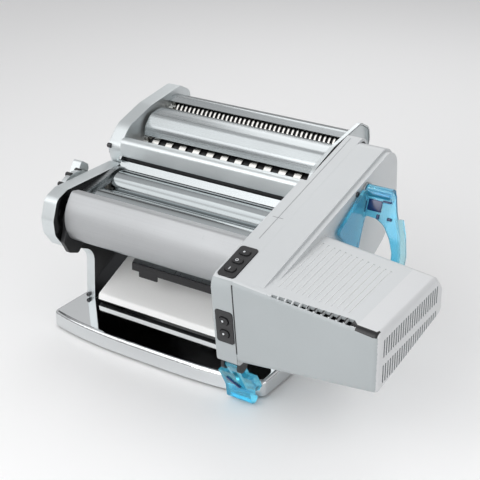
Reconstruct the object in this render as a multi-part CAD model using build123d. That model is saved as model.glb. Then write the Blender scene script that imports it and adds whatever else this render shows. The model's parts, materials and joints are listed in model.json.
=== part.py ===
from build123d import *
import os
from math import atan2, cos, degrees, hypot, radians, sin, sqrt

# Electric pasta maker: a chromed sheet roller on a pressed base, a lift-off cutter head behind it,
# and a motor unit that clips to its right side. Millimetres. X runs along the rollers to the
# right, Y from front to back, Z up. Side-view points are (y, z) pairs.

# ---- frame ---------------------------------------------------------------------------------
SHEET = 1.5                      # pressed steel of the side panels
PANEL_X = 82.0                   # inner face of each side panel
RIM_X = 94.0                     # outer edge of the rolled rim
LEG_X = 90.0                     # outer edge of the rim on the leg
COVER_SHEET = 0.9                # thin chromed covers
BASE_HALF_X = 97.0
BASE_HALF_Y = 76.0
BASE_BOW = 9.2                   # how far the front and back edges bulge
BASE_TOP = 14.0
BASE_SKIRT = 2.0                 # lower edge of the skirt
BASE_SHEET = 1.2
BASE_CORNER = 5.0
BASE_EDGE = 3.0                  # rounding between the skirt and the flat top
FOOT_R = 8.0
FOOT_X, FOOT_Y = 76.0, 60.0
ROD_R = 3.0
FRONT_ROD = (-66.0, 84.0)

# ---- sheet rollers -------------------------------------------------------------------------
ROLLER_R = 13.0
ROLLER_HALF = 75.0
FRONT_AXIS = (-39.7, 95.4)
REAR_AXIS = (-13.9, 101.5)
JOURNAL_R = 6.0
BUSH_R = 9.0
RUNNING = 0.05                   # radial clearance of a shaft in its bush
ROLLER_GAP_TRAVEL = 2.0          # how far the front roller backs away
ROLLER_TEETH = 16
CHUTE_HALF = 75.5
HEX_SOCKET = 6.8                 # across flats
HEX_DRIVE = 6.0

# ---- thickness knob ------------------------------------------------------------------------
KNOB_AXIS = (-40.9, 95.1)
KNOB_R = 22.5
KNOB_OUTER_X = -109.0
WING_LONG = 29.0
WING_SHORT = 15.0
WING_ANGLE = 55.0

# ---- cutter head ---------------------------------------------------------------------------
CUTTER_R = 10.0
GROOVE_R = 8.5
CUTTER_HALF = 74.0
COARSE_FRONT = (9.85, 116.35)
COARSE_REAR = (28.25, 120.65)
FINE_FRONT = (47.3, 135.35)
FINE_REAR = (65.7, 139.65)
COARSE_PITCH = 13.0
COARSE_RIDGE = 6.0
FINE_PITCH = 4.0
FINE_RIDGE = 1.5
CUTTER_TEETH = 12
HEAD_RIGHT_X = 85.5              # outer edge of the right head plate, under the motor casing

# ---- motor unit ----------------------------------------------------------------------------
CASE_INNER_X = 82.0
CASE_SPLIT_X = 98.6
CASE_STEP_X = 120.0
CASE_OUTER_X = 124.0
CASE_WALL = 2.5
STEP_DEPTH = 2.0
BOX_SPLIT_X = 188.0
BOX_END_X = 204.5
BOX_WALL = 2.2
VENT_COUNT = 11
GROOVE_COUNT = 13
GROOVE_DEPTH = 0.4
MOTOR_AXIS = (-85.0, 87.5)
MOTOR_R = 17.0
GEAR_MODULE = 1.0
GEAR_X0, GEAR_X1 = 100.0, 106.0
PINION_TEETH = 12
WHEEL_TEETH = 52
OUTPUT_TEETH = 32
COARSE_GEAR_TEETH = 24
LINK_TEETH = 20
FINE_GEAR_TEETH = 20
SHAFT_R = 4.0

LEVER_PIVOT = (12.0, 134.0)
LEVER_LEAN = 20.0                # how far the hanging handle leans forward at its foot, degrees
LEVER_END_X = 145.0

TOP_SLOPE = 14.8                 # slope of the casing's top, degrees
FACE_LEAN = 6.5                  # forward lean of the casing's front face, degrees

PARTS = {}


# ---- shape helpers -------------------------------------------------------------------------
def outline(points, radii=0.0):
    """Closed face through corner points, every corner rounded."""
    if isinstance(radii, (int, float)):
        radii = [radii] * len(points)
    return make_face(FilletPolyline(*points, radius=radii, close=True))


def slab(face, x0, x1):
    """Side-view face pushed along X from x0 to x1."""
    return extrude(Plane.YZ.offset(x0) * face, amount=x1 - x0)


def rod(axis, x0, x1, radius):
    """Round bar along X."""
    return slab(Pos(*axis) * Circle(radius), x0, x1)


def tube(axis, x0, x1, outer, inner):
    """Round tube along X."""
    return rod(axis, x0, x1, outer) - rod(axis, x0 - 1, x1 + 1, inner)


def hexagon(axis, x0, x1, across_flats):
    """Six-sided bar along X."""
    corner_radius = across_flats / sqrt(3)
    return slab(Pos(*axis) * RegularPolygon(corner_radius, 6), x0, x1)


def grown(face, amount):
    """The same outline moved outwards, or inwards if amount is negative."""
    return offset(face, amount=amount, kind=Kind.INTERSECTION)


def bent_sheet(points, radii, thickness):
    """Side-view face of a bent sheet: a line with rounded bends, thickened to its left."""
    steps = [(b[0] - a[0], b[1] - a[1]) for a, b in zip(points, points[1:])]
    units = [(dy / hypot(dy, dz), dz / hypot(dy, dz)) for dy, dz in steps]
    normals = [(-dz, dy) for dy, dz in units]
    shifts = [normals[0]]
    far_radii = []
    for i in range(1, len(units)):
        (ay, az), (by, bz) = normals[i - 1], normals[i]
        spread = 1 + ay * by + az * bz
        shifts.append(((ay + by) / spread, (az + bz) / spread))
        turn = units[i - 1][0] * units[i][1] - units[i - 1][1] * units[i][0]
        far_radii.append(max(radii[i - 1] - thickness, 0.0) if turn > 0 else radii[i - 1] + thickness)
    shifts.append(normals[-1])
    far = [(p[0] + s[0] * thickness, p[1] + s[1] * thickness) for p, s in zip(points, shifts)]
    if len(points) > 2:
        near_line = FilletPolyline(*points, radius=radii)
        far_line = FilletPolyline(*far, radius=far_radii)
    else:
        near_line = Line(*points)
        far_line = Line(*far)
    ends = [Line(near_line @ 0, far_line @ 0), Line(near_line @ 1, far_line @ 1)]
    return make_face([*near_line.edges(), *far_line.edges(), *ends])


def polar(axis, radius, angle):
    """Point at a radius and an angle from +Y towards +Z, in degrees."""
    return (axis[0] + radius * cos(radians(angle)), axis[1] + radius * sin(radians(angle)))


def bearing_of(start, end):
    """Angle of the line from start to end, from +Y towards +Z, in degrees."""
    return degrees(atan2(end[1] - start[1], end[0] - start[0]))


def gear(axis, x0, x1, teeth, module, phase):
    """Spur gear along X whose first tooth points at the angle phase."""
    pitch_r = teeth * module / 2
    tip_r = pitch_r + 0.85 * module
    root_r = pitch_r - 1.15 * module
    step = 360 / teeth
    corners = []
    for tooth in range(teeth):
        middle = phase + tooth * step
        corners.append(polar(axis, root_r, middle - 0.30 * step))
        corners.append(polar(axis, tip_r, middle - 0.11 * step))
        corners.append(polar(axis, tip_r, middle + 0.11 * step))
        corners.append(polar(axis, root_r, middle + 0.30 * step))
    return slab(make_face(Polyline(*corners, close=True)), x0, x1)


def mesh_phase(driver_axis, driver_teeth, driver_phase, axis, teeth):
    """Phase that puts a gap of this gear where the driver's line of centres meets it."""
    along = bearing_of(driver_axis, axis)
    driver_offset = (along - driver_phase) / (360 / driver_teeth)
    return along + 180 + (driver_offset + 0.5) * (360 / teeth)


def meeting_point(a, b, distance_a, distance_b):
    """Lower of the two points at the given distances from a and b."""
    span = hypot(b[0] - a[0], b[1] - a[1])
    along = (distance_a ** 2 - distance_b ** 2 + span ** 2) / (2 * span)
    aside = sqrt(distance_a ** 2 - along ** 2)
    uy, uz = (b[0] - a[0]) / span, (b[1] - a[1]) / span
    return (a[0] + uy * along + uz * aside, a[1] + uz * along - uy * aside)


def between(a, b, distance_a):
    """Point on the line from a to b, a distance from a."""
    span = hypot(b[0] - a[0], b[1] - a[1])
    return (a[0] + (b[0] - a[0]) * distance_a / span, a[1] + (b[1] - a[1]) * distance_a / span)


# ---- shared outlines -----------------------------------------------------------------------
def panel_outline():
    """Side panel: narrow leg, forward nose round the sheet rollers, flat top."""
    corners = [(-44, BASE_TOP), (-41.5, 56), (-75.8, 72), (-84.4, 84), (-85.6, 96), (-80, 111.2),
               (-68, 115.5), (-3, 115.5), (-0.8, 99), (38, 100), (52, 91), (46, 58), (50, BASE_TOP)]
    return outline(corners, [0, 14, 8, 10, 10, 8, 4, 1, 3, 5, 9, 30, 0])


def head_outline():
    """End plate of the cutter head, a rounded crest that rises to the back."""
    corners = [(-2.0, 116.6), (-5.4, 129), (8, 143), (36, 152), (76, 158), (89, 151),
               (91, 140), (80, 122), (52, 104), (38, 100), (0.6, 99.04)]
    return outline(corners, [1, 8, 20, 30, 9, 8, 8, 14, 14, 8, 5])


def casing_outline(rear_radius):
    """Motor casing in side view: leaning face, long sloping top, tapered underside."""
    corners = [(-112, 44.5), (-119.5, 110), (61, 157.7), (64, 112), (46, 84), (-20, 48)]
    return outline(corners, [4, 9, rear_radius, 8, 20, 20])


def box_corners(x):
    """Corners of the motor box at a given X: bottom front, top front, ridge, shoulder, bottom rear."""
    at_split = [(-112.2, 46.5), (-119.5, 111), (-46, 125.5), (-30, 112), (-28, 66)]
    at_end = [(-120.2, 62.5), (-120.6, 105.2), (-38, 110), (-28, 99), (-27.4, 80.4)]
    share = (x - CASE_SPLIT_X) / (BOX_END_X - CASE_SPLIT_X)
    return [(a[0] + (b[0] - a[0]) * share, a[1] + (b[1] - a[1]) * share)
            for a, b in zip(at_split, at_end)]


def box_section(x):
    """Section of the motor box at a given X: it tapers towards the end cap."""
    return outline(box_corners(x), [5, 4, 7, 7, 7])


def box_solid(x0, x1, inset=0.0):
    """Length of the tapered motor box, or of its hollow."""
    sections = [Plane.YZ.offset(x) * (grown(box_section(x), -inset) if inset else box_section(x))
                for x in (x0, x1)]
    return loft(sections, ruled=True)


# ---- base ----------------------------------------------------------------------------------
def base_outline(inset=0.0):
    """Plan of the base or of its hollow: straight sides, bowed front and back, round corners."""
    x, y = BASE_HALF_X - inset, BASE_HALF_Y - inset
    shares = (1, 0.84, 0.57, 0, -0.57, -0.84, -1)
    bow = [(share * x, y + BASE_BOW * (1 - abs(share) ** 3)) for share in shares]
    back = Spline(*bow)
    front = Spline(*[(-px, -py) for px, py in bow])
    plan = make_face([front, Line((x, -y), (x, y)), back, Line((-x, y), (-x, -y))])
    return fillet(plan.vertices(), BASE_CORNER - inset)


def pan(plan, low, high, edge_radius):
    """Rounded slab of the base."""
    body = extrude(Pos(0, 0, low) * plan, amount=high - low)
    return fillet(body.faces().sort_by(Axis.Z)[-1].edges(), edge_radius)


def make_base():
    """Pressed pan with a rolled edge, open below, on four rubber feet."""
    hollow = pan(base_outline(BASE_SHEET), BASE_SKIRT - 1, BASE_TOP - BASE_SHEET, BASE_EDGE - BASE_SHEET)
    PARTS["base_plate"] = pan(base_outline(), BASE_SKIRT, BASE_TOP, BASE_EDGE) - hollow
    post = extrude(Circle(FOOT_R), amount=BASE_TOP - BASE_SHEET)
    post = chamfer(post.faces().sort_by(Axis.Z)[0].edges(), 1)
    corners = GridLocations(2 * FOOT_X, 2 * FOOT_Y, 2, 2)
    PARTS["rubber_feet"] = Compound([corner * post for corner in corners])


# ---- side panels and what joins them ---------------------------------------------------------
def make_panels():
    """Pressed side panels: a flat plate with a deep rim turned outwards, shallower on the leg."""
    side = panel_outline()
    tray = slab(side, PANEL_X, RIM_X) - slab(grown(side, -SHEET), PANEL_X + SHEET, RIM_X + 1)
    beside = RIM_X + 9
    beside_leg = Polyline((LEG_X, 0), (LEG_X, 50), (RIM_X + 1, 66), (beside, 66), (beside, 0), close=True)
    tray -= extrude(Plane.XZ * make_face(beside_leg), amount=70, both=True)
    tray -= rod(REAR_AXIS, PANEL_X - 1, PANEL_X + 3, BUSH_R + RUNNING)
    left = mirror(tray, about=Plane.YZ)
    left -= rod(KNOB_AXIS, -PANEL_X - 3, -PANEL_X + 1, JOURNAL_R + RUNNING)
    PARTS["right_side_panel"] = tray
    PARTS["left_side_panel"] = left


def make_covers():
    """Front cover, its end caps, guide plates, scrapers, chute, apron and tie rods."""
    front = [(-60, 113.6), (-67.5, 115.3), (-81, 97.5), (-72, 78), (-60, 71.5), (-53, 72.5)]
    PARTS["front_cover"] = slab(bent_sheet(front, [3, 24, 12, 4], COVER_SHEET), -78.3, PANEL_X)
    cap = [(-63, 108), (-75.5, 96.5), (-76, 86), (-79.5, 77.5), (-74, 67), (-64, 63), (-57, 69.5), (-62, 88)]
    cap_face = outline(cap, [3, 8, 3, 2, 3, 3, 2, 6])
    PARTS["front_end_cap"] = slab(cap_face, -PANEL_X, -78.3) - rod(FRONT_ROD, -83, -78, ROD_R)
    guide = slab(bent_sheet([(-3.6, 118.2), (-6.8, 113.2)], [], COVER_SHEET), -PANEL_X, PANEL_X)
    PARTS["rear_guide_plate"] = guide - rod(REAR_AXIS, ROLLER_HALF - 0.4, 79.2, 15.4)
    left_guard = [(-58, 106.3), (-56, 108.9), (-12, 116.2), (-7, 114.6)]
    guard = slab(bent_sheet(left_guard[::-1], [1.5, 2], 1.2), -PANEL_X, -77.2)
    ledge = slab(bent_sheet([(-9, 112.6), (-56, 104.4)], [], 1.2), -78.0, -75.5)
    web = slab(outline([(-56, 104.4), (-9, 112.6), (-9, 115.5), (-54.5, 108.2)]), -78.0, -77.2)
    right_guard = slab(bent_sheet(left_guard[::-1], [1.5, 2], 1.2), 79.4, PANEL_X)
    PARTS["guard_rails"] = Compound([*(guard + ledge + web).solids(), *right_guard.solids()])
    chute = [(12, 48.2), (-46.6, 21.6), (-47.4, 16.6), (-44.6, 15.2)]
    chute_face = bent_sheet(chute, [3, 1.4], COVER_SHEET)
    ears = slab(bent_sheet([(12, 48.2), (0, 42.75)], [], COVER_SHEET), -PANEL_X, PANEL_X)
    PARTS["exit_chute"] = slab(chute_face, -CHUTE_HALF, CHUTE_HALF) + ears
    apron = [(2, 99), (7, 95), (42, 62), (48, 61)]
    PARTS["rear_apron"] = slab(bent_sheet(apron[::-1], [4, 4], COVER_SHEET), -PANEL_X, PANEL_X)
    front_blade = slab(bent_sheet([(-47.5, 82.2), (-57, 76.2), (-62, 80)], [1.5], 0.8), -78.3, PANEL_X)
    rear_blade = slab(bent_sheet([(3, 86), (-2.4, 86.4), (-4.7, 90.8)], [1.5], 0.8), -PANEL_X, PANEL_X)
    for side in (-1, 1):
        ends = sorted((side * (ROLLER_HALF - 1), side * (PANEL_X + 1)))
        front_blade -= rod(FRONT_AXIS, *ends, 19)
        rear_blade -= rod(REAR_AXIS, *ends, 16.5)
    PARTS["scrapers"] = Compound([*front_blade.solids(), *rear_blade.solids()])


def make_tie_rods():
    """Round spacers that hold the panels and the head plates apart, one with a bent bracket."""
    front, middle, rear, upper = [rod(axis, -PANEL_X, PANEL_X, ROD_R)
                                  for axis in (FRONT_ROD, (-30, 66), (40, 92), (44, 116))]
    bracket = bent_sheet([(-29, 66), (-44.4, 56.4), (-44.8, 50.5)], [1.5], 1.2)
    lug = bent_sheet([(-44.65, 54), (-45.1, 46.5)], [], 1.2)
    middle += slab(bracket, -42.7, 80) + slab(lug, -36, -19)
    PARTS["tie_rods"] = Compound([piece.solid() for piece in (front, middle, rear, upper)])


# ---- sheet rollers ---------------------------------------------------------------------------
def make_sheet_rollers():
    """Smooth rollers with their gears, the sliding blocks of the front one and the rear bushes."""
    module = hypot(REAR_AXIS[0] - FRONT_AXIS[0], REAR_AXIS[1] - FRONT_AXIS[1]) / ROLLER_TEETH
    across = bearing_of(FRONT_AXIS, REAR_AXIS)
    rear_phase = mesh_phase(FRONT_AXIS, ROLLER_TEETH, across, REAR_AXIS, ROLLER_TEETH)
    body = rod(FRONT_AXIS, -ROLLER_HALF, ROLLER_HALF, ROLLER_R)
    body += rod(FRONT_AXIS, -78.6, 81.5, JOURNAL_R)
    PARTS["front_roller"] = body + gear(FRONT_AXIS, ROLLER_HALF, 78.7, ROLLER_TEETH, module, across)
    body = rod(REAR_AXIS, -ROLLER_HALF, ROLLER_HALF, ROLLER_R)
    body += rod(REAR_AXIS, -84.5, 84.5, JOURNAL_R)
    body += gear(REAR_AXIS, ROLLER_HALF, 78.7, ROLLER_TEETH, module, rear_phase)
    PARTS["rear_roller"] = body - hexagon(REAR_AXIS, 76.5, 85, HEX_SOCKET)
    flange = rod(REAR_AXIS, 79.6, PANEL_X, BUSH_R + 2.5) + rod(REAR_AXIS, 79.6, 84.6, BUSH_R)
    bush = flange - rod(REAR_AXIS, 79, 86, JOURNAL_R + RUNNING)
    PARTS["roller_bushes"] = Compound([bush.solid(), mirror(bush, about=Plane.YZ).solid()])
    make_slide_blocks(across)


def make_slide_blocks(across):
    """Blocks that carry the front roller and slide away from the rear one."""
    plane = Plane.YZ * Pos(*FRONT_AXIS) * Rot(0, 0, across)
    block = fillet((plane * Rectangle(20, 17)).vertices(), 3)
    right = extrude(Plane((79.2, 0, 0)).location * block, amount=2.5, dir=(1, 0, 0))
    right -= rod(FRONT_AXIS, 79, 82, JOURNAL_R + RUNNING)
    left = extrude(Plane((-81.7, 0, 0)).location * block, amount=5.7, dir=(1, 0, 0))
    left -= rod(FRONT_AXIS, -78.8, -75, JOURNAL_R + RUNNING)
    slot = Plane.YZ * Pos(*FRONT_AXIS) * Rot(0, 0, across) * Rectangle(5.2, 9)
    left -= extrude(Plane((-82, 0, 0)).location * slot, amount=2.4, dir=(1, 0, 0))
    PARTS["slide_blocks"] = Compound([left.solid(), right.solid()])


def make_knob():
    """Winged thickness knob with its shaft and the eccentric pin that moves the block."""
    across = bearing_of(FRONT_AXIS, REAR_AXIS)
    shaft = rod(KNOB_AXIS, -97, -PANEL_X + 0.2, JOURNAL_R)
    pin = rod(polar(KNOB_AXIS, 1.035, across + 15), -PANEL_X, -79.9, 1.5)
    PARTS["eccentric_shaft"] = shaft + pin
    dial = rod(KNOB_AXIS, -101, -96.5, KNOB_R) + rod(KNOB_AXIS, -96.5, -85.5, 9)
    dial -= rod(KNOB_AXIS, -97, -84, JOURNAL_R)
    dial = fillet(dial.faces().sort_by(Axis.X)[0].edges(), 1.2)
    wing = [(-WING_SHORT, -3.2), (4, -4.2), (WING_LONG - 3, -6.2), (WING_LONG, -3.5),
            (WING_LONG, 5.4), (4, 4.2), (-WING_SHORT, 3.2)]
    grip = Plane.YZ * Pos(*KNOB_AXIS) * Rot(0, 0, WING_ANGLE) * outline(wing, [2.4, 10, 3, 2, 2, 10, 2.4])
    grip = extrude(Plane((-101, 0, 0)).location * grip, amount=101 + KNOB_OUTER_X, dir=(1, 0, 0))
    PARTS["thickness_knob"] = dial + grip


# ---- cutter head -----------------------------------------------------------------------------
def cutter(axis, pitch, ridge, first):
    """Grooved roller along X: ridges of one width, first ridge centre given."""
    corners = [(-CUTTER_HALF, 0), (-CUTTER_HALF, GROOVE_R)]
    centre = first
    while centre + ridge / 2 < CUTTER_HALF:
        corners += [(centre - ridge / 2, GROOVE_R), (centre - ridge / 2, CUTTER_R),
                    (centre + ridge / 2, CUTTER_R), (centre + ridge / 2, GROOVE_R)]
        centre += pitch
    corners += [(CUTTER_HALF, GROOVE_R), (CUTTER_HALF, 0)]
    profile = make_face(Polyline(*corners, close=True))
    return Pos(0, *axis) * revolve(Plane.XZ * profile, axis=Axis.X)


def make_cutter(name, axis, pitch, ridge, first, phase, driven):
    """Cutter roller with its journals, and its gear at the left end."""
    body = cutter(axis, pitch, ridge, first)
    body += rod(axis, -84.5, -CUTTER_HALF, SHAFT_R) + rod(axis, CUTTER_HALF, 84.5, JOURNAL_R)
    if driven:
        body -= hexagon(axis, 76.5, 85, HEX_SOCKET)
    module = hypot(COARSE_REAR[0] - COARSE_FRONT[0], COARSE_REAR[1] - COARSE_FRONT[1]) / CUTTER_TEETH
    PARTS[name + "_cutter"] = body + gear(axis, -80.0, -76.0, CUTTER_TEETH, module, phase)


def make_cutters():
    """Coarse pair for wide noodles and fine pair for thin ones, ridges set in grooves."""
    pairs = (("coarse", COARSE_FRONT, COARSE_REAR, COARSE_PITCH, COARSE_RIDGE),
             ("fine", FINE_FRONT, FINE_REAR, FINE_PITCH, FINE_RIDGE))
    for name, front, rear, pitch, ridge in pairs:
        across = bearing_of(front, rear)
        rear_phase = mesh_phase(front, CUTTER_TEETH, across, rear, CUTTER_TEETH)
        first = -CUTTER_HALF + pitch / 2
        make_cutter(name + "_front", front, pitch, ridge, first + pitch / 2, across, True)
        make_cutter(name + "_rear", rear, pitch, ridge, first, rear_phase, False)


def comb(axis, pitch, tooth, first):
    """Upright stripping comb below a cutter, its teeth in the grooves."""
    tip, heel, ledge, back = GROOVE_R + 0.6, CUTTER_R + 0.8, CUTTER_R + 2, CUTTER_R + 4.2
    corners = [(-PANEL_X, back), (-PANEL_X, ledge), (-75, ledge), (-75, heel)]
    centre = first
    while centre + tooth / 2 < CUTTER_HALF:
        corners += [(centre - tooth / 2, heel), (centre - tooth / 2, tip),
                    (centre + tooth / 2, tip), (centre + tooth / 2, heel)]
        centre += pitch
    corners += [(75, heel), (75, ledge), (PANEL_X, ledge), (PANEL_X, back)]
    face = make_face(Polyline(*corners, close=True))
    downwards = Plane(origin=(0, *axis), x_dir=(1, 0, 0), z_dir=(0, 1, 0))
    return (downwards * extrude(face, amount=1.0)).solid()


def make_combs():
    """One stripping comb under each cutter, a pair to a node."""
    pairs = (("coarse", COARSE_FRONT, COARSE_REAR, COARSE_PITCH, COARSE_PITCH - COARSE_RIDGE - 1.4),
             ("fine", FINE_FRONT, FINE_REAR, FINE_PITCH, FINE_PITCH - FINE_RIDGE - 1.3))
    for name, front, rear, pitch, tooth in pairs:
        front_comb = comb(front, pitch, tooth, pitch / 2 - CUTTER_HALF)
        rear_comb = comb(rear, pitch, tooth, pitch - CUTTER_HALF)
        PARTS[name + "_combs"] = Compound([front_comb, rear_comb])


def make_head_shell():
    """End plates and three chromed covers of the cutter head."""
    side = head_outline()
    plate = slab(side, PANEL_X, RIM_X) - slab(grown(side, -SHEET), PANEL_X + SHEET, RIM_X + 1)
    for axis in (COARSE_FRONT, COARSE_REAR, FINE_FRONT, FINE_REAR):
        plate -= rod(axis, PANEL_X - 1, PANEL_X + 3, JOURNAL_R + RUNNING)
    PARTS["left_head_plate"] = mirror(plate, about=Plane.YZ)
    PARTS["right_head_plate"] = plate - slab(grown(side, 5), HEAD_RIGHT_X, RIM_X + 1)
    front = [(15.5, 128.7), (9.5, 130.4), (4, 135.2), (-3.6, 135.6), (-5, 122.1), (-0.6, 119.6)]
    PARTS["front_head_cover"] = slab(bent_sheet(front, [6, 5, 4, 1.5], COVER_SHEET), -PANEL_X, PANEL_X)
    middle = [(50.4, 147.0), (44, 148.2), (32, 146.4), (25.0, 139.5), (23.2, 131.6)]
    PARTS["middle_head_cover"] = slab(bent_sheet(middle, [30, 8, 8], COVER_SHEET), -79.5, PANEL_X)
    rear = [(79, 128), (82, 142), (76.5, 151), (66, 152.8), (59.2, 149.9)]
    PARTS["rear_head_cover"] = slab(bent_sheet(rear, [13, 9, 6], COVER_SHEET), -PANEL_X, PANEL_X)


# ---- motor unit ------------------------------------------------------------------------------
def make_casing():
    """Two halves of the motor casing: the outer one runs into the tapered box without a step in front."""
    side = casing_outline(9)
    inner = slab(side, CASE_INNER_X, CASE_SPLIT_X)
    inner -= slab(grown(side, -CASE_WALL), CASE_INNER_X + CASE_WALL, CASE_SPLIT_X + 1)
    inner -= slab(grown(panel_outline(), 0.6), CASE_INNER_X - 1, RIM_X + 1)
    head_room = outline([(-6.2, 98), (-6.2, 170), (70, 170), (70, 98)])
    inner -= slab(head_room, CASE_INNER_X - 1, 86.2)
    PARTS["casing_inner_half"] = inner
    wide = casing_outline(16)
    below_box = outline([(-130, 30), (-130, 90), (-83, 90), (-53, 30)])
    box_floor = outline([(-130, 30), (-130, 48), (-112, 52.5), (-66.5, 63.1), (-50, 30)])
    outer = slab(wide, CASE_SPLIT_X, CASE_STEP_X) + slab(grown(wide, -STEP_DEPTH), CASE_STEP_X, CASE_OUTER_X)
    outer -= slab(below_box, CASE_SPLIT_X - 1, CASE_OUTER_X + 1)
    outer += box_solid(CASE_SPLIT_X, CASE_OUTER_X)
    outer -= slab(grown(wide, -CASE_WALL) - box_floor, CASE_SPLIT_X - 1, CASE_STEP_X - CASE_WALL)
    outer -= slab(grown(wide, -CASE_WALL - STEP_DEPTH) - box_floor, CASE_SPLIT_X, CASE_OUTER_X - CASE_WALL)
    outer -= box_solid(CASE_SPLIT_X - 1, CASE_OUTER_X - CASE_WALL, BOX_WALL)
    outer -= rod(MOTOR_AXIS, CASE_OUTER_X - 5, CASE_OUTER_X + 1, MOTOR_R + RUNNING)
    PARTS["casing_outer_half"] = outer


def vent_slots():
    """Row of openings along the top front edge of the box, wider to the right."""
    slots = []
    pitch = (BOX_SPLIT_X - 3 - CASE_OUTER_X - 3) / VENT_COUNT
    for i in range(VENT_COUNT):
        x0 = CASE_OUTER_X + 3 + i * pitch
        width = 1.6 + 0.42 * i
        front = box_corners(x0)[1][0] + 1.3
        slots.append(Pos(x0 + pitch / 2, front + width / 2, 112) * Box(pitch - 1.2, width, 18))
    return slots


def top_grooves():
    """Shallow grooves from front to back in the top of the box."""
    grooves = []
    for i in range(GROOVE_COUNT):
        x0 = CASE_OUTER_X + 3 + i * 4.2
        front, ridge = box_corners(x0)[1:3]
        start, end = between(front, ridge, 12), between(front, ridge, 68)
        sunk = [(start[0], start[1] - GROOVE_DEPTH), (end[0], end[1] - GROOVE_DEPTH)]
        grooves.append(slab(bent_sheet(sunk, [], 2), x0, x0 + 1.3))
    return grooves


def make_box():
    """Tapered motor box, its ventilated end cap and the dark strip behind the vent."""
    shell = box_solid(CASE_OUTER_X, BOX_SPLIT_X) - box_solid(CASE_OUTER_X - 1, BOX_SPLIT_X + 1, BOX_WALL)
    for cut in vent_slots() + top_grooves():
        shell -= cut
    PARTS["motor_box"] = shell - gland_place() * Cylinder(6.55, 20)
    cap = box_solid(BOX_SPLIT_X, BOX_END_X)
    cap = fillet(cap.faces().sort_by(Axis.X)[-1].edges(), 3.5)
    cap -= box_solid(BOX_SPLIT_X - 1, BOX_END_X - BOX_WALL, BOX_WALL)
    for row_z in (77.0, 95.0):
        for i in range(24):
            y = -112 + i * 3.2
            cap -= Pos(BOX_END_X, y, row_z + (y + 75) * 0.06) * Box(10, 1.5, 12.5)
    PARTS["motor_end_cap"] = cap
    strip = slab(bent_sheet([(-106, 102.4), (-116.4, 101.6)], [], 1.0), CASE_OUTER_X + 3, BOX_SPLIT_X - 3)
    PARTS["vent_liner"] = strip


def gland_place():
    """Where the cord gland sits in the rear wall of the box, facing the back."""
    return Plane(origin=(150, -25.5, 92), z_dir=(0, 1, 0))


def make_motor():
    """Motor can with magnets, rotor with fan, reduction gearbox and circuit board."""
    can = tube(MOTOR_AXIS, 116, 170, MOTOR_R, MOTOR_R - 1.4)
    can += tube(MOTOR_AXIS, 168.6, 170, MOTOR_R, 3) + tube(MOTOR_AXIS, 116, 117.4, MOTOR_R, 3)
    PARTS["motor_can"] = can
    PARTS["magnet_ring"] = tube(MOTOR_AXIS, 122, 158, MOTOR_R - 1.4, 12.2)
    PARTS["gearbox"] = rod(MOTOR_AXIS, 108, 116, 14) - rod(MOTOR_AXIS, 107, 117, 3)
    rotor = rod(MOTOR_AXIS, 124, 156, 11.4) + rod(MOTOR_AXIS, 158, 165, 6) + rod(MOTOR_AXIS, 113, 184, 2)
    PARTS["motor_rotor"] = rotor
    fan = tube(MOTOR_AXIS, 174, 183, 4.5, 2.0)
    for i in range(8):
        blade = Plane.YZ * Pos(*MOTOR_AXIS) * Rot(0, 0, 45 * i) * Pos(9, 0) * Rectangle(11, 1.2)
        fan += extrude(Plane((174, 0, 0)).location * blade, amount=9, dir=(1, 0, 0))
    PARTS["cooling_fan"] = fan
    board = Pos(155, -111.5, 84) * Box(46, 1.6, 26)
    for x, z in ((136, 92), (174, 76)):
        board += Plane(origin=(x, -113.6, z), z_dir=(0, 1, 0)) * Cylinder(2.2, 3)
    PARTS["circuit_board"] = board
    gland = Cylinder(6.5, 9) + Pos(0, 0, 3.4) * Cylinder(8, 2)
    PARTS["cord_gland"] = gland_place() * (gland - Cylinder(3.6, 12))


def gear_places():
    """Axis, teeth and phase of each gear of the train, from the output gear outwards."""
    link = between(COARSE_FRONT, FINE_FRONT, (COARSE_GEAR_TEETH + LINK_TEETH) * GEAR_MODULE / 2)
    wheel = meeting_point(MOTOR_AXIS, REAR_AXIS, (PINION_TEETH + WHEEL_TEETH) * GEAR_MODULE / 2,
                          (WHEEL_TEETH + OUTPUT_TEETH) * GEAR_MODULE / 2)
    train = {"roller_drive": (REAR_AXIS, OUTPUT_TEETH, 0.0)}
    order = (("coarse_drive", COARSE_FRONT, COARSE_GEAR_TEETH, "roller_drive"),
             ("link_gear", link, LINK_TEETH, "coarse_drive"),
             ("fine_drive", FINE_FRONT, FINE_GEAR_TEETH, "link_gear"),
             ("wheel_gear", wheel, WHEEL_TEETH, "roller_drive"),
             ("motor_pinion", MOTOR_AXIS, PINION_TEETH, "wheel_gear"))
    for name, axis, teeth, driver in order:
        driver_axis, driver_teeth, driver_phase = train[driver]
        train[name] = (axis, teeth, mesh_phase(driver_axis, driver_teeth, driver_phase, axis, teeth))
    return train


def make_gear_train():
    """Gears of the motor unit, their fixed plate, and the drive shafts that enter the rollers."""
    train = gear_places()
    plate = slab(grown(casing_outline(9), -CASE_WALL), 95.5, 98.0)
    for name, (axis, teeth, phase) in train.items():
        wheel = gear(axis, GEAR_X0, GEAR_X1, teeth, GEAR_MODULE, phase)
        if name in ("roller_drive", "coarse_drive", "fine_drive"):
            wheel += rod(axis, 87, GEAR_X1 + 3, SHAFT_R) + hexagon(axis, 77.5, 87, HEX_DRIVE)
            seat_r = BUSH_R + 0.1 if name == "roller_drive" else JOURNAL_R + 0.6
            plate += tube(axis, PANEL_X + SHEET, 95.5, seat_r + 1.6, seat_r)
            plate -= rod(axis, 95, 99, SHAFT_R + RUNNING)
        elif name == "motor_pinion":
            wheel += rod(axis, GEAR_X0, 112, 2.9)
        else:
            wheel -= rod(axis, 99, 107, 2.5 + RUNNING)
            plate += rod(axis, 97, GEAR_X1 + 2, 2.5)
        PARTS[name] = wheel
    PARTS["gear_plate"] = plate


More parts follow.
